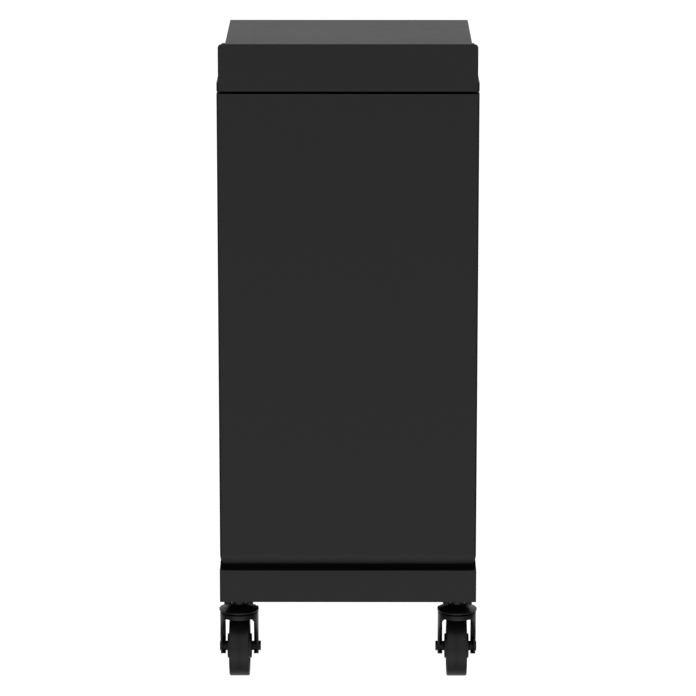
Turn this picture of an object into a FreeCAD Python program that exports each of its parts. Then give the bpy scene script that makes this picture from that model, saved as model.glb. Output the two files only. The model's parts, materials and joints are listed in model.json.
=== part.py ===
import FreeCAD, Part
import os
import re

import Sketcher

# A tall, narrow steel chest of drawers on four swivel casters.
# Frame: +Z up, the floor at Z = 0, +Y towards the plain rear face, the drawers open towards -Y.
# The origin is on the floor, below the middle of the chest.

# ---------------------------------------------------------------------------------------------
# Driving dimensions, in millimetres. They fill the spreadsheet that every size is bound to.
# ---------------------------------------------------------------------------------------------
DRIVING = {
    # whole chest
    "chest_width": 420,
    "chest_depth": 686,
    "caster_height": 143.6,
    "base_height": 54,
    "base_overhang": 0.75,
    "recess_height": 10.1,
    "recess_depth": 14,
    "recess_side_step": 0.2,
    "case_height": 780.9,
    "top_gap": 4.2,
    "top_thickness": 14.5,
    "upstand_rise": 61.6,
    "upstand_margin": 2.6,
    # sheet metal
    "case_sheet": 1.2,
    "top_sheet": 1.2,
    "base_sheet": 2,
    "upstand_sheet": 2,
    "floor_plate_thickness": 4,
    "case_corner_radius": 3.5,
    "roll_radius": 30,
    "roll_trim": 12,
    "base_corner_radius": 3,
    "top_edge_radius": 1.4,
    "upstand_corner_radius": 6.5,
    "upstand_flange": 14,
    "upstand_fold_radius": 1.5,
    "frame_bar": 20,
    "tray_flange": 18.2,
    # drawers: the case height holds eight units, a shallow drawer is one and a deep one is two
    "drawer_units": 8,
    "front_thickness": 20,
    "front_side_margin": 0.5,
    "front_gap": 3,
    "front_clearance": 1,
    "front_edge_radius": 1.5,
    "pull_height": 24,
    "pull_lip": 8,
    "pull_sheet": 1.5,
    "pull_edge_radius": 0.6,
    "box_length": 650,
    "box_below": 10,
    "box_above": 20,
    "box_corner_radius": 2.5,
    # telescopic slides
    "slide_space": 13,
    "slide_height": 45,
    "slide_length": 650,
    "middle_length": 600,
    "inner_length": 640,
    "slide_sheet": 1.2,
    "ball_gap": 2.2,
    "slide_flange": 10,
    "slide_rise": 41.5,
    # casters
    "caster_inset_side": 29.8,
    "caster_inset_end": 32,
    "trail": 28,
    "wheel_radius": 50,
    "tread_width": 33.6,
    "tread_edge_radius": 2.5,
    "rim_radius": 38,
    "rim_width": 29.6,
    "rim_lip": 4,
    "rim_fillet": 2,
    "hub_radius": 20.2,
    "hub_width": 40.2,
    "web_width": 12,
    "bond_gap": 0.05,
    "weld_gap": 0.5,
    "axle_radius": 6,
    "running_gap": 0.08,
    "spacer_radius": 8,
    "axle_head_radius": 8.1,
    "axle_head_height": 1.7,
    "axle_nut_height": 3.7,
    "axle_nut_radius": 8.6,
    "crown_radius": 31.35,
    "crown_top": 118.4,
    "crown_skirt": 7.2,
    "arch_radius": 4,
    "fork_sheet": 3,
    "leg_end_radius": 13.5,
    "leg_depth": 8,
    "leg_front": 19.6,
    "leg_opening": 12,
    "kingpin_radius": 6,
    "kingpin_head_radius": 10,
    "swivel_gap": 0.35,
    "plate_width": 49,
    "plate_corner_radius": 4,
    "plate_thickness": 3,
    "plate_chamfer": 2.4,
    "neck_radius": 12.5,
    "dome_radius": 25,
    "dome_height": 7,
    "race_rim_radius": 32.7,
    "race_rim_height": 2.2,
    "race_rim_chamfer": 1.2,
    "race_rim_rise": 2,
    "race_radius": 24,
    "race_height": 1.8,
    "bolt_radius": 3,
    "bolt_offset": 18.3,
    "bolt_head_radius": 5.77,
    "bolt_head_height": 5,
}

# Sizes and levels that follow from the driving ones.
DERIVED = {
    "half_width": "chest_width / 2",
    "half_depth": "chest_depth / 2",
    "base_bottom": "caster_height",
    "base_top": "base_bottom + base_height",
    "base_width": "chest_width + 2 * base_overhang",
    "case_bottom": "base_top + recess_height",
    "case_top": "case_bottom + case_height",
    "case_front": "front_thickness + front_clearance - half_depth",
    "case_inner_width": "chest_width - 2 * case_sheet",
    "case_inner_back": "half_depth - case_sheet",
    "top_bottom": "case_top + top_gap",
    "top_surface": "top_bottom + top_thickness",
    "top_back": "half_depth - upstand_sheet",
    "upstand_width": "chest_width - 2 * upstand_margin",
    "upstand_top": "top_surface + upstand_rise",
    "drawer_unit": "case_height / drawer_units",
    "front_width": "chest_width - 2 * front_side_margin",
    "front_back": "front_thickness - half_depth",
    "box_half_width": "half_width - case_sheet - slide_space",
    "slide_front": "front_clearance + front_back",
    "slide_near": "half_width - case_sheet - slide_flange",
    "middle_reach": "slide_flange - ball_gap",
    "inner_reach": "middle_reach + slide_sheet",
    "middle_height": "slide_height - 2 * (slide_sheet + ball_gap)",
    "inner_height": "middle_height - 2 * (slide_sheet + ball_gap)",
    "caster_side": "half_width - caster_inset_side",
    "caster_end": "half_depth - caster_inset_end",
    "crown_underside": "crown_top - fork_sheet",
    "crown_bottom": "crown_top - crown_skirt",
    "leg_inner": "crown_radius - leg_depth",
    "leg_web": "crown_radius - fork_sheet",
    "hub_bore": "axle_radius + running_gap",
    "race_bottom": "crown_top + swivel_gap",
    "race_rim_bottom": "race_bottom + race_height",
    "race_rim_top": "race_rim_bottom + race_rim_chamfer + race_rim_height",
    "dome_bottom": "race_rim_top + race_rim_rise",
    "dome_top": "dome_bottom + dome_height",
    "plate_bottom": "caster_height - plate_thickness",
}

NAME = re.compile(r"[a-z_]+")


def formula(text):
    """Turns a formula of plain dimension names into one that reads the spreadsheet."""

    def resolve(match):
        name = match.group(0)
        if name in DERIVED:
            return "(" + formula(DERIVED[name]) + ")"
        return "Dimensions." + name

    return NAME.sub(resolve, str(text))


def value(text):
    """The present value of a formula, in millimetres."""
    return float(sheet.evalExpression(formula(text)))


# ---------------------------------------------------------------------------------------------
# Document and spreadsheet
# ---------------------------------------------------------------------------------------------
doc = FreeCAD.newDocument("Chest")
sheet = doc.addObject("Spreadsheet::Sheet", "Dimensions")
for row, (alias, size) in enumerate(DRIVING.items(), start=1):
    sheet.set(f"A{row}", alias)
    sheet.set(f"B{row}", str(size))
    sheet.setAlias(f"B{row}", alias)
doc.recompute()

pieces = []


def finished(thing, node):
    """Names a sub-part after its node and puts it on the list of what is written out."""
    thing.Label = node
    pieces.append(thing)
    return thing


# ---------------------------------------------------------------------------------------------
# Helpers: sizes and places are formulas, written with the dimension names above
# ---------------------------------------------------------------------------------------------
ALONG = {
    "X": FreeCAD.Rotation(FreeCAD.Vector(0, 1, 0), 90),
    "Y": FreeCAD.Rotation(FreeCAD.Vector(1, 0, 0), -90),
    "Z": FreeCAD.Rotation(),
}
HALF_TURN = FreeCAD.Rotation(FreeCAD.Vector(0, 0, 1), 180)
UP, DOWN, FRONT, BACK = (0, 0, 1), (0, 0, -1), (0, -1, 0), (0, 1, 0)

# how near counts as touching or on an axis, in millimetres, and the cosine that counts as parallel
TOUCHING = 0.01
ON_AXIS = 1e-9
NEARLY_ONE = 0.999


def bind(thing, **formulas):
    for prop, text in formulas.items():
        thing.setExpression(prop, formula(text))


def place(thing, corner, turn=ALONG["Z"]):
    thing.Placement = FreeCAD.Placement(FreeCAD.Vector(), turn)
    for axis, text in zip("xyz", corner):
        thing.setExpression("Placement.Base." + axis, formula(text))


def box(name, size, corner, body=None, cut=False):
    """A block from its lowest corner, alone or as a step of a body."""
    if body:
        thing = body.newObject("PartDesign::SubtractiveBox" if cut else "PartDesign::AdditiveBox", name)
    else:
        thing = doc.addObject("Part::Box", name)
    bind(thing, Length=size[0], Width=size[1], Height=size[2])
    place(thing, corner)
    return thing


def cylinder(name, radius, height, base, along="Z", body=None, cut=False):
    """A cylinder from the middle of its base, alone or as a step of a body."""
    if body:
        kind = "PartDesign::SubtractiveCylinder" if cut else "PartDesign::AdditiveCylinder"
        thing = body.newObject(kind, name)
    else:
        thing = doc.addObject("Part::Cylinder", name)
    bind(thing, Radius=radius, Height=height)
    place(thing, base, ALONG[along])
    return thing


def hexagon(name, radius, height, base, along="Z"):
    thing = doc.addObject("Part::Prism", name)
    thing.Polygon = 6
    bind(thing, Circumradius=radius, Height=height)
    place(thing, base, ALONG[along])
    return thing


def cut(name, base, tool):
    thing = doc.addObject("Part::Cut", name)
    thing.Base = base
    thing.Tool = tool
    return thing


def fuse(name, *parts):
    thing = doc.addObject("Part::MultiFuse", name)
    thing.Shapes = list(parts)
    return thing


def common(name, *parts):
    thing = doc.addObject("Part::MultiCommon", name)
    thing.Shapes = list(parts)
    return thing


def group(name, parts):
    thing = doc.addObject("Part::Compound", name)
    thing.Links = list(parts)
    return thing


def new_body(name):
    return doc.addObject("PartDesign::Body", name)


def origin_plane(body, role):
    return next(feature for feature in body.Origin.OriginFeatures if feature.Role == role)


def outline(body, name, role, corners, offset="0"):
    """A closed outline of straight lines on one of a body's origin planes.

    Every corner is held at its two coordinates by formulas, so the outline follows the sheet.
    """
    sketch = body.newObject("Sketcher::SketchObject", name)
    sketch.AttachmentSupport = (origin_plane(body, role), [""])
    sketch.MapMode = "FlatFace"
    sketch.setExpression("AttachmentOffset.Base.z", formula(offset))
    points = [FreeCAD.Vector(value(across), value(up), 0) for across, up in corners]
    count = len(points)
    for i in range(count):
        sketch.addGeometry(Part.LineSegment(points[i], points[(i + 1) % count]))
    for i in range(count):
        sketch.addConstraint(Sketcher.Constraint("Coincident", i, 2, (i + 1) % count, 1))
    for i, corner in enumerate(corners):
        for kind, axis, text, size in (
            ("DistanceX", -2, corner[0], points[i].x),
            ("DistanceY", -1, corner[1], points[i].y),
        ):
            if abs(size) < ON_AXIS:
                sketch.addConstraint(Sketcher.Constraint("PointOnObject", i, 1, axis))
                continue
            index = sketch.addConstraint(Sketcher.Constraint(kind, -1, 1, i, 1, size))
            sketch.renameConstraint(index, f"{kind}{i}")
            sketch.setExpression(f"Constraints.{kind}{i}", formula(text))
    return sketch


def pad(body, name, sketch, length, both_sides=False):
    feature = body.newObject("PartDesign::Pad", name)
    feature.Profile = sketch
    feature.Midplane = both_sides
    bind(feature, Length=length)
    return feature


def revolve(body, name, sketch, axis):
    feature = body.newObject("PartDesign::Revolution", name)
    feature.Profile = sketch
    feature.ReferenceAxis = (sketch, [axis])
    feature.Angle = 360
    return feature


def edges(feature, wanted):
    """The names of a feature's edges that pass a test on the edge."""
    doc.recompute()
    return [f"Edge{i}" for i, edge in enumerate(feature.Shape.Edges, start=1) if wanted(edge)]


def rounded(body, name, feature, wanted, radius):
    """Rounds those edges of a body's last feature that pass a test."""
    chosen = edges(feature, wanted)
    step = body.newObject("PartDesign::Fillet", name)
    step.Base = (feature, chosen)
    bind(step, Radius=radius)
    return step


def folded(body, name, feature, open_sides, wall):
    """Leaves a sheet of even thickness inside a block's faces, open on the named sides."""
    doc.recompute()
    directions = [FreeCAD.Vector(*side) for side in open_sides]
    faces = []
    for i, face in enumerate(feature.Shape.Faces, start=1):
        if isinstance(face.Surface, Part.Plane):
            normal = face.normalAt(0, 0)
            if any(normal.dot(direction) > NEARLY_ONE for direction in directions):
                faces.append(f"Face{i}")
    step = body.newObject("PartDesign::Thickness", name)
    step.Base = (feature, faces)
    step.Reversed = True
    bind(step, Value=wall)
    return step


def is_upright(edge):
    return is_line(edge) and abs(direction_of(edge).z) > NEARLY_ONE


def is_level(edge):
    return is_line(edge) and abs(direction_of(edge).z) < 1 - NEARLY_ONE


def is_line(edge):
    return isinstance(edge.Curve, Part.Line)


def direction_of(edge):
    return (edge.Vertexes[1].Point - edge.Vertexes[0].Point).normalize()


# ---------------------------------------------------------------------------------------------
# Base
# ---------------------------------------------------------------------------------------------
def caster_corners():
    """The four corners: name, side sign, end sign. Right is +X, rear is +Y."""
    for end, end_sign in (("rear", 1), ("front", -1)):
        for side, side_sign in (("left", -1), ("right", 1)):
            yield f"{end}_{side}", side_sign, end_sign


def bolt_places():
    """The middles of the sixteen caster bolts: name, x and y as formulas."""
    for corner, side_sign, end_sign in caster_corners():
        for number, (x_sign, y_sign) in enumerate(((1, 1), (-1, 1), (-1, -1), (1, -1)), start=1):
            x = f"{side_sign} * caster_side + {x_sign} * bolt_offset"
            y = f"{end_sign} * caster_end + {y_sign} * bolt_offset"
            yield f"{corner}_{number}", x, y


def make_base_shell():
    """The base: a pan folded from sheet and open below, with rounded corners."""
    body = new_body("BaseShell")
    block = box("BaseBlock", ("base_width", "chest_depth", "base_height"),
                ("-base_width / 2", "-half_depth", "base_bottom"), body)
    corners = rounded(body, "BaseCorners", block, is_upright, "base_corner_radius")
    folded(body, "BaseFold", corners, [DOWN], "base_sheet")
    finished(body, "base_shell")


def make_base_floor_plate():
    """A plate welded in flush with the rim of the base, tapped for the caster bolts."""
    plate = box("FloorPlateBlank",
                ("base_width - 2 * (base_sheet + weld_gap)",
                 "chest_depth - 2 * (base_sheet + weld_gap)", "floor_plate_thickness"),
                ("base_sheet + weld_gap - base_width / 2",
                 "base_sheet + weld_gap - half_depth", "base_bottom"))
    holes = [cylinder(f"Tapping_{name}", "bolt_radius + running_gap", "floor_plate_thickness",
                      (x, y, "base_bottom"))
             for name, x, y in bolt_places()]
    finished(cut("FloorPlate", plate, group("Tappings", holes)), "base_floor_plate")


def ring(name, side_inset, end_inset, height, bottom):
    """A flat rectangular frame of bar, set in from the sides and the ends of the chest."""
    blocks = []
    for label, margin in (("Outer", "0"), ("Inner", "frame_bar")):
        across = f"({side_inset} + {margin})"
        along = f"({end_inset} + {margin})"
        blocks.append(box(name + label,
                          (f"chest_width - 2 * {across}", f"chest_depth - 2 * {along}", height),
                          (f"{across} - half_width", f"{along} - half_depth", bottom)))
    return cut(name, *blocks)


# ---------------------------------------------------------------------------------------------
# Case and top
# ---------------------------------------------------------------------------------------------
def at_lower_rear(edge):
    middle = edge.CenterOfMass
    return is_level(edge) and middle.y > 0 and middle.z < value("case_bottom + case_sheet")


def at_rear_corner(edge):
    return is_upright(edge) and edge.CenterOfMass.y > 0


def rolled_block(name, inset, lowest, highest):
    """The space inside the case's faces, set in by a number of sheet thicknesses.

    Its lower rear edge is rolled in from side to side, and its rear corners are rounded. The roll is
    cut off at the lowest level, before it is fully turned in.
    """
    radius = f"(roll_radius - {inset} * case_sheet)"
    width = f"(chest_width - 2 * {inset} * case_sheet)"
    depth = f"half_depth - {inset} * case_sheet - case_front"
    bottom = f"(case_bottom + roll_radius - roll_trim - {radius})"
    corner = (f"-{width} / 2", "case_front", bottom)
    rolled = new_body(name + "Rolled")
    block = box(name + "Block", (width, depth, f"{highest} - {bottom}"), corner, rolled)
    rounded(rolled, name + "Roll", block, at_lower_rear, radius)
    box(name + "Trim", (width, depth, f"{lowest} - {bottom}"), corner, rolled, cut=True)
    upright = new_body(name + "Upright")
    column = box(name + "Column", (width, depth, f"{highest} - {lowest}"),
                 (f"-{width} / 2", "case_front", lowest), upright)
    rounded(upright, name + "Corners", column, at_rear_corner, f"case_corner_radius - {inset} * case_sheet")
    return common(name, rolled, upright)


def make_case_wrap():
    """Both sides and the rear, folded from one sheet round the two rear corners."""
    finished(cut("CaseWrap",
                 rolled_block("WrapOutside", 0, "case_bottom", "case_top"),
                 rolled_block("WrapInside", 1, "case_bottom", "case_top")), "case_wrap")


def make_case_floor():
    """The shallow tray that closes the case below, spot-welded inside the wrap."""
    rim = "case_bottom + tray_flange"
    finished(cut("CaseFloor",
                 rolled_block("FloorOutside", 1, "case_bottom", rim),
                 rolled_block("FloorInside", 2, "case_bottom + case_sheet", rim)), "case_floor")


def make_case_roof():
    """The shallow tray that closes the case above, spot-welded inside the wrap."""
    body = new_body("CaseRoof")
    block = box("RoofBlock",
                ("case_inner_width", "case_inner_back - case_front", "tray_flange"),
                ("-case_inner_width / 2", "case_front", "case_top - tray_flange"), body)
    corners = rounded(body, "RoofCorners", block, at_rear_corner, "case_corner_radius - case_sheet")
    folded(body, "RoofFold", corners, [DOWN, FRONT], "case_sheet")
    finished(body, "case_roof")


def make_top_panel():
    """The top: a pan folded from sheet, open below, with softened upper edges."""
    body = new_body("TopPanel")
    block = box("TopBlock", ("chest_width", "top_back + half_depth", "top_thickness"),
                ("-half_width", "-half_depth", "top_bottom"), body)
    corners = rounded(body, "TopCorners", block, is_upright, "case_corner_radius")

    def around_the_top(edge):
        return edge.CenterOfMass.z > value("top_surface") - TOUCHING

    softened = rounded(body, "TopEdges", corners, around_the_top, "top_edge_radius")
    folded(body, "TopFold", softened, [DOWN], "top_sheet")
    finished(body, "top_panel")


def make_rear_upstand():
    """The plate that stands above the top along the rear, with a flange folded forwards."""
    body = new_body("RearUpstand")
    plate_outline = outline(body, "UpstandOutline", "XZ_Plane",
                            [("-upstand_width / 2", "top_bottom"), ("upstand_width / 2", "top_bottom"),
                             ("upstand_width / 2", "upstand_top"), ("-upstand_width / 2", "upstand_top")],
                            offset="-half_depth")
    plate = pad(body, "UpstandPlate", plate_outline, "upstand_sheet")

    def at_top_corner(edge):
        runs_through = is_line(edge) and abs(direction_of(edge).y) > NEARLY_ONE
        return runs_through and edge.CenterOfMass.z > value("upstand_top - upstand_sheet")

    corners = rounded(body, "UpstandCorners", plate, at_top_corner, "upstand_corner_radius")
    flange = box("UpstandFlange",
                 ("upstand_width - 2 * upstand_corner_radius", "upstand_flange", "upstand_sheet"),
                 ("upstand_corner_radius - upstand_width / 2", "half_depth - upstand_flange",
                  "upstand_top - upstand_sheet"), body)

    def at_rear_fold(edge):
        middle = edge.CenterOfMass
        is_highest = middle.z > value("upstand_top") - TOUCHING
        return is_line(edge) and is_highest and middle.y > value("half_depth") - TOUCHING

    rounded(body, "UpstandFold", flange, at_rear_fold, "upstand_fold_radius")
    finished(body, "rear_upstand")


# ---------------------------------------------------------------------------------------------
# Drawers and their slides
# ---------------------------------------------------------------------------------------------
def drawers():
    """The six drawers from the top: number, height in units, units of case below it."""
    heights = (1, 1, 1, 1, 2, 2)
    for number, units in enumerate(heights, start=1):
        yield number, units, sum(heights[number:])


def channel(name, side, near, reach, height, length, middle_z, web_outside):
    """A C-section slide member on one side, from near to near + reach off the middle plane.

    Its web is on the outside, against the case, or on the inside, against the drawer.
    """
    hollow_near = near if web_outside else f"{near} + slide_sheet"
    hollow_reach = f"({reach} - slide_sheet)"
    low, hollow_low = near, hollow_near
    if side < 0:
        low, hollow_low = f"-({near} + {reach})", f"-({hollow_near} + {hollow_reach})"
    bar = box(name + "Bar", (reach, length, height), (low, "slide_front", f"{middle_z} - {height} / 2"))
    hollow = box(name + "Hollow", (hollow_reach, length, f"{height} - 2 * slide_sheet"),
                 (hollow_low, "slide_front", f"{middle_z} - {height} / 2 + slide_sheet"))
    return cut(name, bar, hollow)


def slide_pair(name, near, reach, height, length, middle_z, web_outside=True):
    """The same slide member on the right and on the left."""
    return [channel(name + label, side, near, reach, height, length, middle_z, web_outside)
            for label, side in (("Right", 1), ("Left", -1))]


def make_drawer(number, units, below):
    """One drawer: its box, front, pull and the slide members that travel with it."""
    name = f"Drawer{number}"
    node = f"drawer_{number}"
    bottom = f"(case_bottom + {below} * drawer_unit)"
    pitch = f"({units} * drawer_unit)"
    slide_z = f"({bottom} + slide_rise)"

    body = new_body(name + "Box")
    block = box(name + "BoxBlock",
                ("2 * box_half_width", "box_length", f"{pitch} - box_below - box_above"),
                ("-box_half_width", "front_back", f"{bottom} + box_below"), body)
    corners = rounded(body, name + "BoxCorners", block, is_upright, "box_corner_radius")
    folded(body, name + "BoxFold", corners, [UP], "case_sheet")
    finished(body, node + "_box")

    body = new_body(name + "Front")
    block = box(name + "FrontBlock",
                ("front_width", "front_thickness", f"{pitch} - front_gap - pull_height"),
                ("-front_width / 2", "-half_depth", bottom), body)

    def round_the_face(edge):
        return edge.CenterOfMass.y < TOUCHING - value("half_depth")

    softened = rounded(body, name + "FrontEdges", block, round_the_face, "front_edge_radius")
    folded(body, name + "FrontFold", softened, [BACK], "case_sheet")
    finished(body, node + "_front")

    make_pull(name, node, f"({bottom} + {pitch} - front_gap - pull_height)")

    inners = slide_pair(name + "Inner", "box_half_width", "inner_reach", "inner_height",
                        "inner_length", slide_z, web_outside=False)
    finished(group(name + "Inners", inners), node + "_slide_inners")
    middles = slide_pair(name + "Middle", "slide_near", "middle_reach", "middle_height",
                         "middle_length", slide_z)
    finished(group(name + "Middles", middles), node + "_slide_middles")
    return slide_pair(name + "Outer", "slide_near", "slide_flange", "slide_height",
                      "slide_length", slide_z)


def make_pull(name, node, bottom):
    """The full-width pull: a channel along the front's upper edge with a lip for the fingers."""
    body = new_body(name + "Pull")
    face, back = "-half_depth", "front_back"
    section = outline(body, name + "PullSection", "YZ_Plane", [
        (face, bottom),
        (back, bottom),
        (back, f"{bottom} + pull_height"),
        (f"{back} - pull_sheet", f"{bottom} + pull_height"),
        (f"{back} - pull_sheet", f"{bottom} + pull_sheet"),
        (f"{face} + pull_sheet", f"{bottom} + pull_sheet"),
        (f"{face} + pull_sheet", f"{bottom} + pull_lip"),
        (face, f"{bottom} + pull_lip"),
    ])
    strip = pad(body, name + "PullStrip", section, "front_width", both_sides=True)

    def at_lip(edge):
        runs_across = is_line(edge) and abs(direction_of(edge).x) > NEARLY_ONE
        return runs_across and abs(edge.CenterOfMass.z - value(f"{bottom} + pull_lip")) < TOUCHING

    rounded(body, name + "PullLip", strip, at_lip, "pull_edge_radius")
    finished(body, node + "_pull")


# ---------------------------------------------------------------------------------------------
# Casters. Each is built about its own swivel axis with the wheel trailing towards -Y, and the
# front pair is turned half round, so that all four wheels trail towards the middle.
# ---------------------------------------------------------------------------------------------
def make_caster_top_plate(corner, side_sign, end_sign):
    """The fixed upper half of a caster: square bolting plate, neck, dome and raceway with its rim."""
    body = new_body("TopPlate_" + corner)
    plate = box("TopPlateSquare_" + corner, ("plate_width", "plate_width", "plate_thickness"),
                ("-plate_width / 2", "-plate_width / 2", "plate_bottom"), body)
    corners = rounded(body, "TopPlateCorners_" + corner, plate, is_upright, "plate_corner_radius")

    def round_the_underside(edge):
        return edge.CenterOfMass.z < value("plate_bottom") + TOUCHING

    bevel = body.newObject("PartDesign::Chamfer", "TopPlateBevel_" + corner)
    bevel.Base = (corners, edges(corners, round_the_underside))
    bind(bevel, Size="plate_chamfer")
    section = outline(body, f"TopPlateSection_{corner}", "XZ_Plane", [
        ("kingpin_radius + bond_gap", "plate_bottom"),
        ("neck_radius", "plate_bottom"),
        ("neck_radius", "dome_top"),
        ("dome_radius", "dome_bottom"),
        ("race_rim_radius", "race_rim_top"),
        ("race_rim_radius", "race_rim_bottom + race_rim_chamfer"),
        ("race_rim_radius - race_rim_chamfer", "race_rim_bottom"),
        ("race_radius", "race_rim_bottom"),
        ("race_radius", "race_bottom"),
        ("kingpin_radius + bond_gap", "race_bottom"),
    ])
    revolve(body, "TopPlateTurned_" + corner, section, "V_Axis")
    cylinder("TopPlateBore_" + corner, "kingpin_radius + bond_gap", "plate_thickness",
             ("0", "0", "plate_bottom"), body=body, cut=True)
    doc.recompute()
    drilled = cylinder("TopPlateHole_" + corner, "bolt_radius + running_gap", "plate_thickness",
                       ("bolt_offset", "bolt_offset", "plate_bottom"), body=body, cut=True)
    pattern = body.newObject("PartDesign::PolarPattern", "TopPlateHoles_" + corner)
    pattern.Originals = [drilled]
    pattern.Axis = (origin_plane(body, "Z_Axis"), [""])
    pattern.Angle = 360
    pattern.Occurrences = 4
    body.Tip = pattern
    place(body, (f"{side_sign} * caster_side", f"{end_sign} * caster_end", "0"))
    return body


def make_kingpin(corner, side_sign, end_sign):
    """The pin that the fork turns on, with its head below the crown."""
    x, y = f"{side_sign} * caster_side", f"{end_sign} * caster_end"
    head_top = "(crown_underside - swivel_gap)"
    shank = cylinder("KingpinShank_" + corner, "kingpin_radius", f"caster_height - {head_top}",
                     (x, y, head_top))
    head = cylinder("KingpinHead_" + corner, "kingpin_head_radius", "fork_sheet",
                    (x, y, f"{head_top} - fork_sheet"))
    return fuse("Kingpin_" + corner, shank, head)


def make_bolt(name, x, y):
    """One hexagon-headed bolt from below, through the caster plate into the base."""
    head = hexagon("BoltHead_" + name, "bolt_head_radius", "bolt_head_height",
                   (x, y, "plate_bottom - bolt_head_height"))
    shank = cylinder("BoltShank_" + name, "bolt_radius", "plate_thickness + 2 * floor_plate_thickness",
                     (x, y, "plate_bottom"))
    return fuse("Bolt_" + name, head, shank)


def leg_outline(body, name, margin):
    """The side of a fork leg: a taper from the crown to a round end, set in by a margin."""
    top = "crown_underside"
    axle_y = "-trail"
    end_radius = f"(leg_end_radius - {margin})"
    sketch = body.newObject("Sketcher::SketchObject", name)
    sketch.AttachmentSupport = (origin_plane(body, "YZ_Plane"), [""])
    sketch.MapMode = "FlatFace"
    front, back = f"leg_front - {margin}", f"{margin} - crown_radius"
    centre = FreeCAD.Vector(value(axle_y), value("wheel_radius"), 0)
    radius = value(end_radius)
    front_top = FreeCAD.Vector(value(front), value(top), 0)
    back_top = FreeCAD.Vector(value(back), value(top), 0)
    front_end = tangent_point(front_top, centre, radius, 1)
    back_end = tangent_point(back_top, centre, radius, -1)
    bottom = centre - FreeCAD.Vector(0, radius, 0)
    sketch.addGeometry(Part.LineSegment(back_top, front_top))
    sketch.addGeometry(Part.LineSegment(front_top, front_end))
    sketch.addGeometry(Part.Arc(front_end, bottom, back_end))
    sketch.addGeometry(Part.LineSegment(back_end, back_top))
    sketch.addConstraint([
        Sketcher.Constraint("Coincident", 0, 2, 1, 1),
        Sketcher.Constraint("Coincident", 3, 2, 0, 1),
    ])
    # an arc runs anticlockwise: the round end starts at the back line and ends at the front one
    sketch.addConstraint([
        Sketcher.Constraint("Tangent", 1, 2, 2, 2),
        Sketcher.Constraint("Tangent", 3, 1, 2, 1),
    ])
    for label, geometry, point, across, up in (
        ("Front", 1, 1, front, top), ("Back", 0, 1, back, top), ("End", 2, 3, axle_y, "wheel_radius"),
    ):
        for kind, text in (("DistanceX", across), ("DistanceY", up)):
            index = sketch.addConstraint(Sketcher.Constraint(kind, -1, 1, geometry, point, value(text)))
            sketch.renameConstraint(index, label + kind)
            sketch.setExpression(f"Constraints.{label}{kind}", formula(text))
    index = sketch.addConstraint(Sketcher.Constraint("Radius", 2, radius))
    sketch.renameConstraint(index, "EndRadius")
    sketch.setExpression("Constraints.EndRadius", formula(end_radius))
    return sketch


def tangent_point(outside, centre, radius, side):
    """Where a line from a point touches a circle, on its front (1) or its back (-1)."""
    span = outside - centre
    length = span.Length
    along = span * (radius * radius / (length * length))
    across = FreeCAD.Vector(span.y, -span.x, 0) * (
        side * radius * (length * length - radius * radius) ** 0.5 / (length * length))
    return centre + along + across


def leg_block(name, margin, width, forwards="0"):
    """The side of the legs drawn out to a width across the fork, and moved forwards."""
    body = new_body(name)
    sketch = leg_outline(body, name + "Side", margin)
    pad(body, name + "Pad", sketch, width, both_sides=True)
    place(body, ("0", forwards, "0"))
    return body


def round_fronted(name, radius):
    """An upright prism with a round front about the swivel axis and straight sides behind it."""
    reach = "(trail + leg_end_radius + fork_sheet)"
    nose = cylinder(name + "Nose", radius, "crown_top", ("0", "0", "0"))
    sides = box(name + "Sides", (f"2 * {radius}", reach, "crown_top"), (f"-{radius}", f"-{reach}", "0"))
    return fuse(name, nose, sides)


def crown_block(name, radius, height):
    """A low block above the crown's inner edge, round to the front and square behind."""
    bottom = "crown_top - crown_skirt - arch_radius"
    nose = cylinder(name + "Nose", radius, height, ("0", "0", bottom))
    heel = box(name + "Heel", (f"2 * {radius}", radius, height), (f"-{radius}", f"-{radius}", bottom))
    return fuse(name, nose, heel)


def make_crown(corner):
    """The crown: a cup whose skirt runs into the legs by rounded arches."""
    cup = crown_block("Crown_" + corner, "crown_radius", "crown_skirt + arch_radius")
    hollow = crown_block("CrownHollow_" + corner, "leg_web", "crown_skirt + arch_radius - fork_sheet")
    archway = new_body("Archway_" + corner)
    block = box("ArchwayBlock_" + corner, ("2 * leg_inner", "3 * crown_radius", "crown_bottom"),
                ("-leg_inner", "-1.5 * crown_radius", "0"), archway)

    def at_arch(edge):
        is_highest = edge.CenterOfMass.z > value("crown_bottom") - TOUCHING
        return is_highest and is_line(edge) and abs(direction_of(edge).y) > NEARLY_ONE

    rounded(archway, "ArchwayTop_" + corner, block, at_arch, "arch_radius")
    return cut("CrownCup_" + corner, cup, fuse("CrownSpace_" + corner, hollow, archway))


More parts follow.
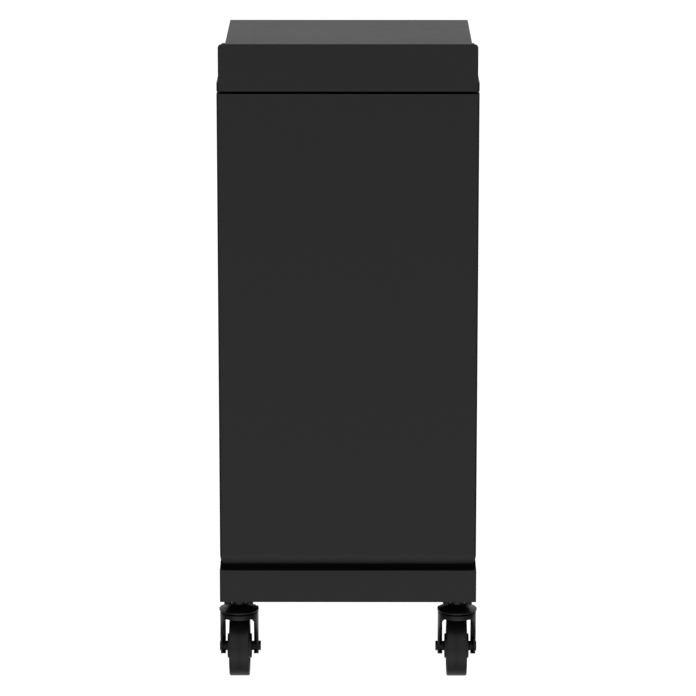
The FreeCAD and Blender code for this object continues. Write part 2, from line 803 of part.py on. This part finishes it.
def make_fork(corner, side_sign, end_sign):
    """The pressed fork: a round crown and two legs with their trailing edges turned in."""
    legs = common("LegBlanks_" + corner,
                  leg_block("LegSides_" + corner, "0", "2 * crown_radius"),
                  round_fronted("LegPlan_" + corner, "crown_radius"))
    pockets = fuse("LegPockets_" + corner,
                   leg_block("LegRearPockets_" + corner, "fork_sheet", "2 * leg_web"),
                   leg_block("LegFrontPockets_" + corner, "fork_sheet", "2 * leg_web", "leg_opening"))
    hollows = common("LegHollows_" + corner, pockets, round_fronted("LegPocketPlan_" + corner, "leg_web"))
    slot = box("WheelSlot_" + corner, ("2 * leg_inner", "3 * crown_radius + trail", "crown_underside"),
               ("-leg_inner", "-2 * crown_radius - trail", "0"))
    hollow_legs = cut("Legs_" + corner, legs, fuse("LegSpace_" + corner, hollows, slot))
    holes = fuse("ForkHoles_" + corner,
                 cylinder("KingpinHole_" + corner, "kingpin_radius + running_gap", "crown_top",
                          ("0", "0", "wheel_radius + axle_radius + fork_sheet")),
                 cylinder("AxleHole_" + corner, "axle_radius + bond_gap", "2 * crown_radius",
                          ("-crown_radius", "-trail", "wheel_radius"), "X"))
    fork = cut("Fork_" + corner, fuse("ForkPressing_" + corner, make_crown(corner), hollow_legs), holes)
    place(fork, (f"{side_sign} * caster_side", f"{end_sign} * caster_end", "0"),
          ALONG["Z"] if end_sign > 0 else HALF_TURN)
    finished(fork, corner + "_fork")


def at_axle(thing, side_sign, end_sign, turn=ALONG["Z"]):
    place(thing, (f"{side_sign} * caster_side", f"{end_sign} * (caster_end - trail)", "wheel_radius"), turn)


def make_axle(corner, side_sign, end_sign):
    """The axle bolt with its nut towards the middle of the chest, and the two hub spacers."""
    shank = cylinder("AxleShank_" + corner, "axle_radius", "2 * crown_radius + axle_nut_height",
                     ("-crown_radius", "0", "0"), "X")
    head = cylinder("AxleHead_" + corner, "axle_head_radius", "axle_head_height",
                    ("-crown_radius - axle_head_height", "0", "0"), "X")
    bolt = fuse("AxleBolt_" + corner, shank, head)
    nut = cut("AxleNut_" + corner,
              hexagon("NutHexagon_" + corner, "axle_nut_radius", "axle_nut_height",
                      ("crown_radius", "0", "0"), "X"),
              cylinder("NutBore_" + corner, "axle_radius + bond_gap", "axle_nut_height",
                       ("crown_radius", "0", "0"), "X"))
    length = "(leg_web - hub_width / 2 - swivel_gap)"
    spacers = []
    for label, start in (("Head", "-leg_web"), ("Nut", f"leg_web - {length}")):
        tube = cylinder(f"Spacer{label}_{corner}", "spacer_radius", length, (start, "0", "0"), "X")
        hole = cylinder(f"Spacer{label}Bore_{corner}", "axle_radius + bond_gap", length,
                        (start, "0", "0"), "X")
        spacers.append(cut(f"Spacer{label}Tube_{corner}", tube, hole))
    axle = group("Axle_" + corner, [bolt, nut] + spacers)
    at_axle(axle, side_sign, end_sign, ALONG["Z"] if side_sign < 0 else HALF_TURN)
    finished(axle, corner + "_axle")


def make_hub(corner, side_sign, end_sign):
    """The wheel's core: a bored hub, a thin web and the rim under the tyre."""
    body = new_body("Hub_" + corner)
    half = [
        ("hub_width / 2", "hub_bore"),
        ("hub_width / 2", "hub_radius"),
        ("web_width / 2", "hub_radius + rim_fillet"),
        ("web_width / 2", "rim_radius - rim_lip - rim_fillet"),
        ("rim_width / 2", "rim_radius - rim_lip"),
        ("rim_width / 2", "rim_radius - bond_gap"),
    ]
    mirrored = [(f"-({across})", up) for across, up in reversed(half)]
    section = outline(body, "HubSection_" + corner, "XZ_Plane", half + mirrored)
    revolve(body, "HubTurned_" + corner, section, "H_Axis")
    at_axle(body, side_sign, end_sign)
    finished(body, corner + "_hub")


def make_tyre(corner, side_sign, end_sign):
    """The tyre: a flat tread with softened edges."""
    body = new_body("Tyre_" + corner)
    section = outline(body, "TyreSection_" + corner, "XZ_Plane",
                      [("-tread_width / 2", "rim_radius"), ("tread_width / 2", "rim_radius"),
                       ("tread_width / 2", "wheel_radius"), ("-tread_width / 2", "wheel_radius")])
    turned = revolve(body, "TyreTurned_" + corner, section, "H_Axis")

    def at_tread(edge):
        return isinstance(edge.Curve, Part.Circle) and edge.Curve.Radius > value("wheel_radius") - TOUCHING

    rounded(body, "TyreEdges_" + corner, turned, at_tread, "tread_edge_radius")
    at_axle(body, side_sign, end_sign)
    finished(body, corner + "_tyre")


# ---------------------------------------------------------------------------------------------
# Assembly
# ---------------------------------------------------------------------------------------------
make_base_shell()
make_base_floor_plate()
finished(ring("PlinthFrame", "recess_side_step", "recess_depth", "recess_height", "base_top"),
         "plinth_frame")
make_case_wrap()
make_case_floor()
make_case_roof()
finished(ring("TopSpacer", "frame_bar", "frame_bar", "top_gap + top_thickness - top_sheet", "case_top"),
         "top_spacer")
make_top_panel()
make_rear_upstand()

outers = []
for number, units, below in drawers():
    outers += make_drawer(number, units, below)
finished(group("SlideOuters", outers), "slide_outers")

corners = list(caster_corners())
top_plates = [make_caster_top_plate(*corner) for corner in corners]
finished(group("CasterTopPlates", top_plates), "caster_top_plates")
finished(group("Kingpins", [make_kingpin(*corner) for corner in corners]), "caster_kingpins")
finished(group("CasterBolts", [make_bolt(*bolt) for bolt in bolt_places()]), "caster_bolts")
for corner in corners:
    make_fork(*corner)
    make_axle(*corner)
    make_hub(*corner)
    make_tyre(*corner)
doc.recompute()


# ---------------------------------------------------------------------------------------------
# Checks, then one file for each sub-part
# ---------------------------------------------------------------------------------------------
for thing in doc.Objects:
    if "Invalid" in thing.State or "Error" in thing.State:
        raise RuntimeError(f"{thing.Name} did not compute: {thing.State}")
for piece in pieces:
    if piece.Shape.isNull() or not piece.Shape.isValid():
        raise RuntimeError(f"{piece.Label} has no valid shape")

os.makedirs("parts", exist_ok=True)
for piece in pieces:
    piece.Shape.exportStep(f"parts/{piece.Label}.step")
    print(f"{piece.Label}: {len(piece.Shape.Solids)} solid(s), {piece.Shape.Volume / 1000:.1f} cm3")
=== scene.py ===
import json
import math

import bmesh
import bpy
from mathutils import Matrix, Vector


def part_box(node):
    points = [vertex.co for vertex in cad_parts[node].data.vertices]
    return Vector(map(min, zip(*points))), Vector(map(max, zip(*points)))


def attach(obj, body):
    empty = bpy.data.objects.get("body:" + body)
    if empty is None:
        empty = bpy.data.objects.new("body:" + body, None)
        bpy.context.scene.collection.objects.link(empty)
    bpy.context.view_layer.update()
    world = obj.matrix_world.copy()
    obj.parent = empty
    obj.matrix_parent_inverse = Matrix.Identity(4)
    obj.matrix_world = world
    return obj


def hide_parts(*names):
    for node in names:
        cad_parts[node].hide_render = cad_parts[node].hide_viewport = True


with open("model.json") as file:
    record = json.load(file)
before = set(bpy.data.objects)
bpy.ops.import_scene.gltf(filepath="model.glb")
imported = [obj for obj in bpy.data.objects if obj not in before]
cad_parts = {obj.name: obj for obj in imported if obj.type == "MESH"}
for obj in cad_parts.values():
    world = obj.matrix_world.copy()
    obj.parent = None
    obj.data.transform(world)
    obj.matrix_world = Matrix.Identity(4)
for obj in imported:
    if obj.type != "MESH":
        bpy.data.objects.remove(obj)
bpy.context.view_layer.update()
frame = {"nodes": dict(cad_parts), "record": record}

MM = 0.001
# the colour sockets of a Mix node, which shares its socket names between kinds of data
MIX_A, MIX_B, MIX_RESULT = 6, 7, 2
# the middle of a noise's values, beyond which a remapped value stays at its end
NOISE_LOW, NOISE_HIGH = 0.3, 0.7


# ---------------------------------------------------------------------------------------------
# Materials: small helpers, then one function for each finish. Noise scales are in features per
# metre, and shades and roughnesses run from 0 to 1.
# ---------------------------------------------------------------------------------------------
def worked_out(tree, operation, *sources):
    """The result of a Math node on sockets and numbers."""
    node = tree.nodes.new("ShaderNodeMath")
    node.operation = operation
    for socket, source in zip(node.inputs, sources):
        if isinstance(source, (int, float)):
            socket.default_value = source
        else:
            tree.links.new(source, socket)
    return node.outputs["Value"]


class Finish:
    """A node material made of one Principled shader and the procedural detail that feeds it."""

    def __init__(self, name):
        self.material = bpy.data.materials.new(name)
        self.material.use_nodes = True
        self.nodes = self.material.node_tree.nodes
        self.links = self.material.node_tree.links
        self.nodes.clear()
        output = self.nodes.new("ShaderNodeOutputMaterial")
        self.shader = self.nodes.new("ShaderNodeBsdfPrincipled")
        self.links.new(self.shader.outputs["BSDF"], output.inputs["Surface"])
        self.place = self.nodes.new("ShaderNodeTexCoord").outputs["Object"]

    def set(self, **sockets):
        for name, value in sockets.items():
            self.shader.inputs[name.replace("_", " ")].default_value = value

    def link(self, source, socket):
        self.links.new(source, self.shader.inputs[socket])

    def stretch(self, x, y, z):
        """The surface's place, scaled differently along each axis."""
        node = self.nodes.new("ShaderNodeMapping")
        node.inputs["Scale"].default_value = (x, y, z)
        self.links.new(self.place, node.inputs["Vector"])
        return node.outputs["Vector"]

    def noise(self, scale, detail=2.0, roughness=0.5, place=None):
        node = self.nodes.new("ShaderNodeTexNoise")
        node.inputs["Scale"].default_value = scale
        node.inputs["Detail"].default_value = detail
        node.inputs["Roughness"].default_value = roughness
        self.links.new(place or self.place, node.inputs["Vector"])
        return node.outputs["Fac"]

    def remap(self, source, low, high, to_low, to_high):
        node = self.nodes.new("ShaderNodeMapRange")
        for name, value in (("From Min", low), ("From Max", high), ("To Min", to_low), ("To Max", to_high)):
            node.inputs[name].default_value = value
        self.links.new(source, node.inputs["Value"])
        return node.outputs["Result"]

    def combine(self, operation, first, second):
        return worked_out(self.material.node_tree, operation, first, second)

    def mix(self, factor, first, second):
        """A colour between two, each a colour or the output of a node."""
        node = self.nodes.new("ShaderNodeMix")
        node.data_type = "RGBA"
        self.links.new(factor, node.inputs["Factor"])
        for socket, colour in ((node.inputs[MIX_A], first), (node.inputs[MIX_B], second)):
            if isinstance(colour, tuple):
                socket.default_value = (*colour, 1)
            else:
                self.links.new(colour, socket)
        return node.outputs[MIX_RESULT]

    def bump(self, height, distance):
        """Fine relief of a given depth, in metres."""
        node = self.nodes.new("ShaderNodeBump")
        node.inputs["Distance"].default_value = distance
        node.inputs["Strength"].default_value = 1.0
        self.links.new(height, node.inputs["Height"])
        self.links.new(node.outputs["Normal"], self.shader.inputs["Normal"])


def grey(value):
    return (value, value, value)


def worn_edges(finish, reach):
    """Where the surface turns sharply within a short reach: 0 on flats, 1 on edges."""
    agreement_on_flats, agreement_on_edges = 0.98, 0.80
    bevel = finish.nodes.new("ShaderNodeBevel")
    bevel.samples = 4
    bevel.inputs["Radius"].default_value = reach
    turn = finish.nodes.new("ShaderNodeVectorMath")
    turn.operation = "DOT_PRODUCT"
    finish.links.new(bevel.outputs["Normal"], turn.inputs[0])
    finish.links.new(finish.nodes.new("ShaderNodeNewGeometry").outputs["Normal"], turn.inputs[1])
    return finish.remap(turn.outputs["Value"], agreement_on_flats, agreement_on_edges, 0.0, 1.0)


def powder_coat(name, shade, roughness, orange_peel=0.03):
    """Satin powder coat: orange peel of a depth in mm, faint clouds, and rubbed, brighter edges."""
    shade_spread, edge_brightness = 0.12, 1.7
    gloss_spread, edge_polish = 0.02, 0.06
    grain_share = 0.15
    finish = Finish(name)
    clouds = finish.noise(6, detail=3)
    mottle = finish.noise(70, detail=2)
    cover = finish.remap(finish.combine("ADD", clouds, mottle), 0.7, 1.3, 0.0, 1.0)
    edges = worn_edges(finish, 1.2 * MM)
    paint = finish.mix(cover, grey(shade * (1 - shade_spread)), grey(shade * (1 + shade_spread)))
    finish.link(finish.mix(edges, paint, grey(shade * edge_brightness)), "Base Color")
    gloss = finish.remap(cover, 0.0, 1.0, roughness - gloss_spread, roughness + gloss_spread)
    polish = finish.combine("MULTIPLY", edges, edge_polish)
    finish.link(finish.combine("SUBTRACT", gloss, polish), "Roughness")
    finish.set(IOR=1.5, Specular_IOR_Level=0.5)
    peel = finish.noise(420, detail=2)
    grain = finish.noise(2600, detail=1)
    relief = finish.combine("ADD", peel, finish.combine("MULTIPLY", grain, grain_share))
    finish.bump(relief, orange_peel * MM)
    return finish.material


def painted_shade_black(name):
    """Steel behind the covers, coloured near black as painted shade for the recesses it sits in, with a dusty
    bloom and next to no shine.
    """
    # painted shade: these shades are darker than any real steel or paint, so that these parts read as the
    # shadow in their recesses
    darkest, lightest = 0.003, 0.006
    smoothest, roughest = 0.75, 0.9
    finish = Finish(name)
    dust = finish.noise(30, detail=4, roughness=0.6)
    finish.link(finish.mix(dust, grey(darkest), grey(lightest)), "Base Color")
    finish.link(finish.remap(dust, NOISE_LOW, NOISE_HIGH, smoothest, roughest), "Roughness")
    finish.set(Specular_IOR_Level=0.15)
    finish.bump(finish.noise(900, detail=2), 0.02 * MM)
    return finish.material


def tyre_rubber(name):
    """Smooth black tread rubber with fine moulding marks round the wheel and scuffed patches."""
    darkest, lightest = 0.014, 0.021
    smoothest, roughest = 0.38, 0.50
    along_the_ring, scuff_depth = 0.03, 0.5
    finish = Finish(name)
    clouds = finish.noise(60, detail=4)
    scuffs = finish.noise(240, detail=5, roughness=0.7)
    finish.link(finish.mix(clouds, grey(darkest), grey(lightest)), "Base Color")
    finish.link(finish.remap(scuffs, 0.35, 0.7, smoothest, roughest), "Roughness")
    rings = finish.noise(1600, detail=2, place=finish.stretch(1, along_the_ring, along_the_ring))
    relief = finish.combine("ADD", rings, finish.combine("MULTIPLY", scuffs, scuff_depth))
    finish.bump(relief, 0.02 * MM)
    return finish.material


def moulded_plastic(name, shade, roughness):
    """Moulded black nylon: spark-eroded texture, slight flow clouding and brighter edges."""
    shade_spread, edge_brightness = 0.15, 1.8
    gloss_spread = 0.04
    finish = Finish(name)
    flow = finish.noise(35, detail=3)
    edges = worn_edges(finish, 0.8 * MM)
    nylon = finish.mix(flow, grey(shade * (1 - shade_spread)), grey(shade * (1 + shade_spread)))
    finish.link(finish.mix(edges, nylon, grey(shade * edge_brightness)), "Base Color")
    gloss = finish.remap(flow, NOISE_LOW, NOISE_HIGH, roughness - gloss_spread, roughness + gloss_spread)
    finish.link(gloss, "Roughness")
    finish.bump(finish.noise(1500, detail=3, roughness=0.6), 0.015 * MM)
    return finish.material


def blackened_steel(name):
    """Black-oxide fasteners: fine grain, oily clouding and bright rubbed edges."""
    darkest, lightest, rubbed = 0.020, 0.034, 0.10
    smoothest, roughest = 0.34, 0.48
    finish = Finish(name)
    clouds = finish.noise(150, detail=4)
    edges = worn_edges(finish, 0.5 * MM)
    oxide = finish.mix(clouds, grey(darkest), grey(lightest))
    finish.link(finish.mix(edges, oxide, grey(rubbed)), "Base Color")
    finish.link(finish.remap(clouds, NOISE_LOW, NOISE_HIGH, smoothest, roughest), "Roughness")
    finish.set(Metallic=0.6)
    finish.bump(finish.noise(2400, detail=2), 0.008 * MM)
    return finish.material


def zinc(name):
    """Zinc-plated rolled steel: a grain along the run of the slide and a faint spangle."""
    darkest, lightest = (0.40, 0.41, 0.43), (0.60, 0.61, 0.62)
    smoothest, roughest = 0.26, 0.42
    grain_share, along_the_run = 0.6, 0.02
    finish = Finish(name)
    grain = finish.noise(700, detail=3, place=finish.stretch(1, along_the_run, 1))
    spangle = finish.noise(90, detail=1)
    tone = finish.combine("ADD", finish.combine("MULTIPLY", grain, grain_share),
                          finish.combine("MULTIPLY", spangle, 1 - grain_share))
    finish.link(finish.mix(tone, darkest, lightest), "Base Color")
    finish.link(finish.remap(tone, NOISE_LOW, NOISE_HIGH, smoothest, roughest), "Roughness")
    finish.set(Metallic=1.0)
    finish.bump(grain, 0.01 * MM)
    return finish.material


SLOTS = {
    "black_powder_coat": powder_coat("black_powder_coat", shade=0.012, roughness=0.38),
    "top_finish": powder_coat("top_finish", shade=0.012, roughness=0.36),
    "pull_finish": powder_coat("pull_finish", shade=0.010, roughness=0.30, orange_peel=0.015),
    "drawer_inside": powder_coat("drawer_inside", shade=0.016, roughness=0.45),
    "inner_steel": painted_shade_black("inner_steel"),
    "slide_steel": zinc("slide_steel"),
    "caster_steel": powder_coat("caster_steel", shade=0.006, roughness=0.30, orange_peel=0.012),
    "blackened_fasteners": blackened_steel("blackened_fasteners"),
    "wheel_core": moulded_plastic("wheel_core", shade=0.012, roughness=0.42),
    "tyre_rubber": tyre_rubber("tyre_rubber"),
}
SLOT_OF = {row["node"]: row["material_slot"] for row in frame["record"]["subparts"]}


def dress(thing, slot):
    thing.data.materials.clear()
    thing.data.materials.append(SLOTS[slot])


for node, slot in SLOT_OF.items():
    dress(frame["nodes"][node], slot)


# ---------------------------------------------------------------------------------------------
# Detailed pieces that stand in for plain CAD solids
# ---------------------------------------------------------------------------------------------
BODY_OF = {node: body for body, nodes in frame["record"]["behaviour"]["bodies"].items() for node in nodes}
CORNERS = [f"{end}_{side}" for end in ("rear", "front") for side in ("left", "right")]
DRAWER_COUNT = 6
HARD_EDGE = math.radians(30)


def stand_in(piece, node):
    """Puts a detailed piece in place of a CAD node, on its body and with its finish."""
    bpy.context.collection.objects.link(piece)
    dress(piece, SLOT_OF[node])
    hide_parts(node)
    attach(piece, BODY_OF[node])


def ease_edges(node, width):
    """Replaces a CAD solid by a copy whose hard edges are rounded, as pressed and turned parts are."""
    coplanar = math.radians(1)
    same_point = 0.001 * MM
    mesh = frame["nodes"][node].data.copy()
    mesh.name = node + "_eased"
    form = bmesh.new()
    form.from_mesh(mesh)
    bmesh.ops.remove_doubles(form, verts=form.verts, dist=same_point)
    bmesh.ops.dissolve_limit(form, angle_limit=coplanar, verts=form.verts, edges=form.edges)
    hard = [edge for edge in form.edges if edge.calc_face_angle(0) > HARD_EDGE]
    bmesh.ops.bevel(form, geom=hard, offset=width, offset_type="OFFSET", segments=3, profile=0.5,
                    affect="EDGES", clamp_overlap=True)
    for face in form.faces:
        face.smooth = True
    form.to_mesh(mesh)
    form.free()
    mesh.set_sharp_from_angle(angle=HARD_EDGE)
    stand_in(bpy.data.objects.new(node + "_eased", mesh), node)


def softened(corners, steps=5):
    """A closed outline whose corners, each (across, radius, rounding), are turned into arcs."""
    points = []
    for k, (x, y, rounding) in enumerate(corners):
        here = Vector((x, y))
        if not rounding:
            points.append(here)
            continue
        before = (Vector(corners[k - 1][:2]) - here).normalized()
        after = (Vector(corners[(k + 1) % len(corners)][:2]) - here).normalized()
        half_turn = before.angle(after) / 2
        start = here + before * rounding / math.tan(half_turn)
        end = here + after * rounding / math.tan(half_turn)
        centre = here + (before + after).normalized() * rounding / math.sin(half_turn)
        for step in range(steps + 1):
            direction = (start - centre).slerp(end - centre, step / steps).normalized()
            points.append(centre + direction * rounding)
    return points


def turned_ring(name, corners, centre, turns=144):
    """A ring about a wheel's axle, which runs along X, turned from a softened outline."""
    outline = softened(corners)
    vertices = []
    for turn in range(turns):
        angle = 2 * math.pi * turn / turns
        for across, radius in outline:
            vertices.append((centre.x + across, centre.y + radius * math.cos(angle),
                             centre.z + radius * math.sin(angle)))
    count = len(outline)
    faces = []
    for turn in range(turns):
        for k in range(count):
            here, there = turn * count, (turn + 1) % turns * count
            following = (k + 1) % count
            faces.append((here + k, here + following, there + following, there + k))
    mesh = bpy.data.meshes.new(name)
    mesh.from_pydata(vertices, [], faces)
    form = bmesh.new()
    form.from_mesh(mesh)
    bmesh.ops.recalc_face_normals(form, faces=form.faces)
    for face in form.faces:
        face.smooth = True
    form.to_mesh(mesh)
    form.free()
    mesh.set_sharp_from_angle(angle=HARD_EDGE)
    return bpy.data.objects.new(name, mesh)


def mirrored(half):
    """A closed outline from its half on the +X side, listed from the bore outwards."""
    return half + [(-across, radius, rounding) for across, radius, rounding in reversed(half)]


def make_tyre(corner):
    """The tyre: bulged walls with a bead groove, round shoulders and a tread with a fine mould seam."""
    low, high = (Vector(point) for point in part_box(corner + "_tyre"))
    half_width = (high.x - low.x) / 2
    outer = (high.z - low.z) / 2
    hub_low, hub_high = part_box(corner + "_hub")
    inner = (hub_high[2] - hub_low[2]) / 2
    wall = half_width - 0.8 * MM
    groove_floor = wall - 0.5 * MM
    groove_start, groove_end, bulge_start = inner + 2.4 * MM, inner + 3.4 * MM, inner + 5.0 * MM
    seam_half_width, seam_depth = 0.35 * MM, 0.12 * MM
    crease, bead_edge, bulge, shoulder = 0.2 * MM, 0.4 * MM, 1.2 * MM, 2.6 * MM
    half = [
        (wall, inner, bead_edge),
        (wall, groove_start, crease),
        (groove_floor, groove_start + 0.5 * MM, crease),
        (groove_floor, groove_end, crease),
        (half_width, bulge_start, bulge),
        (half_width, outer, shoulder),
        (seam_half_width, outer, 0),
        (seam_depth, outer - seam_depth, 0),
    ]
    stand_in(turned_ring(corner + "_tyre_moulded", mirrored(half), (low + high) / 2), corner + "_tyre")


for corner in CORNERS:
    make_tyre(corner)
    ease_edges(corner + "_hub", 0.6 * MM)
    ease_edges(corner + "_fork", 0.5 * MM)
    ease_edges(corner + "_axle", 0.4 * MM)
ease_edges("caster_bolts", 0.35 * MM)
ease_edges("caster_top_plates", 0.3 * MM)
for number in range(1, DRAWER_COUNT + 1):
    ease_edges(f"drawer_{number}_pull", 0.3 * MM)


# ---------------------------------------------------------------------------------------------
# Stage: floor, light and camera
# ---------------------------------------------------------------------------------------------
WHITE = 1.1


def make_floor():
    """A pale floor that reads as plain white in the picture and lets the soft light through."""
    size = 40.0
    bpy.ops.mesh.primitive_plane_add(size=size, location=(0, 0, 0))
    floor = bpy.context.object
    floor.name = "floor"
    material = bpy.data.materials.new("floor_white")
    material.use_nodes = True
    nodes, links = material.node_tree.nodes, material.node_tree.links
    nodes.clear()
    output = nodes.new("ShaderNodeOutputMaterial")
    mix = nodes.new("ShaderNodeMixShader")
    path = nodes.new("ShaderNodeLightPath")
    clear = nodes.new("ShaderNodeBsdfTransparent")
    glow = nodes.new("ShaderNodeEmission")
    glow.inputs["Strength"].default_value = WHITE
    links.new(path.outputs["Is Camera Ray"], mix.inputs["Fac"])
    links.new(clear.outputs["BSDF"], mix.inputs[1])
    links.new(glow.outputs["Emission"], mix.inputs[2])
    links.new(mix.outputs["Shader"], output.inputs["Surface"])
    floor.data.materials.append(material)


def curve_through(tree, source, places, values):
    """A smooth curve over a socket's value, through given values at given places from 0 to 1."""
    curve = tree.nodes.new("ShaderNodeFloatCurve")
    points = curve.mapping.curves[0].points
    points[0].location = (places[0], values[0])
    points[-1].location = (places[-1], values[-1])
    for place, value in zip(places[1:-1], values[1:-1]):
        points.new(place, value)
    curve.mapping.update()
    tree.links.new(source, curve.inputs["Value"])
    return curve.outputs["Value"]


def make_world():
    """A soft studio, brightest overhead and low in front and behind, with darker sides.

    The light's strength follows its height, from straight down (-1) to straight up (1), and its
    turn away from the camera's side, in degrees. The camera sees plain white.
    """
    heights = (-1.0, -0.85, -0.56, -0.28, -0.1, 0.1, 0.3, 0.7, 1.0)
    strengths = (0.26, 0.42, 0.72, 0.66, 0.37, 0.39, 0.46, 0.50, 1.2)
    turns = (0, 22, 42, 60, 100, 125, 150, 180)
    shares = (1.0, 0.92, 0.48, 0.25, 0.25, 0.60, 1.0, 1.0)
    overall = 1.10
    highest = max(strengths)
    world = bpy.data.worlds.new("studio")
    bpy.context.scene.world = world
    world.use_nodes = True
    tree = world.node_tree
    direction = tree.nodes.new("ShaderNodeSeparateXYZ")
    tree.links.new(tree.nodes.new("ShaderNodeTexCoord").outputs["Generated"], direction.inputs["Vector"])
    # heights from -1 to 1 and turns from 0 to 180 degrees both become places from 0 to 1
    height = worked_out(tree, "MULTIPLY_ADD", direction.outputs["Z"], 0.5, 0.5)
    by_height = curve_through(tree, height, [(h + 1) / 2 for h in heights], [s / highest for s in strengths])
    sideways = worked_out(tree, "ABSOLUTE", direction.outputs["X"])
    turn = worked_out(tree, "ARCTAN2", sideways, direction.outputs["Y"])
    by_turn = curve_through(tree, worked_out(tree, "DIVIDE", turn, math.pi), [t / 180 for t in turns], shares)
    strength = worked_out(tree, "MULTIPLY", worked_out(tree, "MULTIPLY", by_height, by_turn),
                          highest * overall)
    seen = tree.nodes.new("ShaderNodeMix")
    tree.links.new(tree.nodes.new("ShaderNodeLightPath").outputs["Is Camera Ray"], seen.inputs["Factor"])
    tree.links.new(strength, seen.inputs["A"])
    seen.inputs["B"].default_value = WHITE
    background = tree.nodes["Background"]
    background.inputs["Color"].default_value = (1, 1, 1, 1)
    tree.links.new(seen.outputs["Result"], background.inputs["Strength"])


def make_camera():
    """The camera stands well back from the rear face, near the middle plane, looking a little down."""
    distance = 6.021
    height = 1.993
    aside = -0.015
    pitch_down = math.radians(13.27)
    yaw = math.atan2(aside, distance)
    camera = bpy.data.cameras.new("camera")
    camera.lens = 197.7
    camera.sensor_width = 36.0
    rig = bpy.data.objects.new("camera", camera)
    rear_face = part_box("case_wrap")[1][1]
    rig.location = (aside, rear_face + distance, height)
    rig.rotation_euler = (math.pi / 2 - pitch_down, 0, math.pi - yaw)
    bpy.context.collection.objects.link(rig)
    bpy.context.scene.camera = rig


make_floor()
make_world()
make_camera()
bpy.context.scene.view_settings.view_transform = "Standard"
